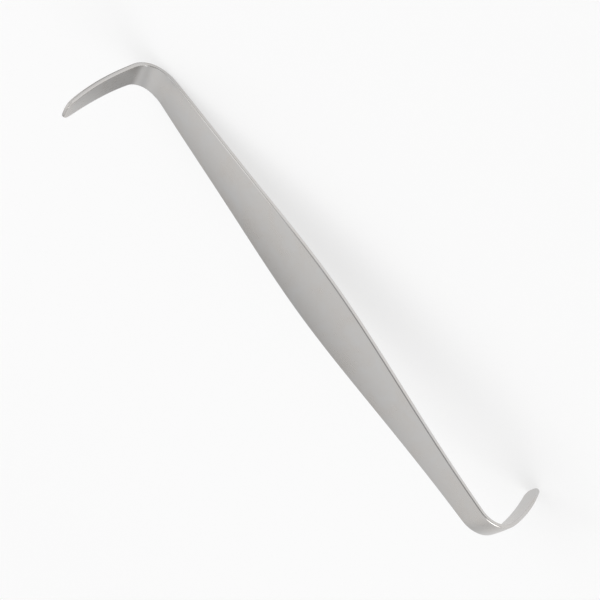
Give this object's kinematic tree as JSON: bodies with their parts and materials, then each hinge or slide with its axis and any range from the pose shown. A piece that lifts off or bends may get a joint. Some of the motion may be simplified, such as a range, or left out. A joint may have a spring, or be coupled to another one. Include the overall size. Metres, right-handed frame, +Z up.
{
  "type": "surgical retractor",
  "caption": "Hand-held wound retractor: an S-shaped steel strip with a lens-shaped handle, a long blade turned up at one end and a short hook turned down at the other.",
  "frame": {"origin": "on the floor, under the middle of the strip's box as it lies at rest on the outside of the blade's bend and the tip of the hook", "axes": "+X along the handle from the long blade to the short hook, +Y across the width of the strip, +Z up, the way that the long blade points"},
  "size_m": [0.172, 0.0188, 0.0359],
  "materials": {
    "steel": "satin, with a fine matt grain along the strip"
  },
  "bodies": {
    "root": {"retractor_strip": "steel"}
  },
  "joints": []
}
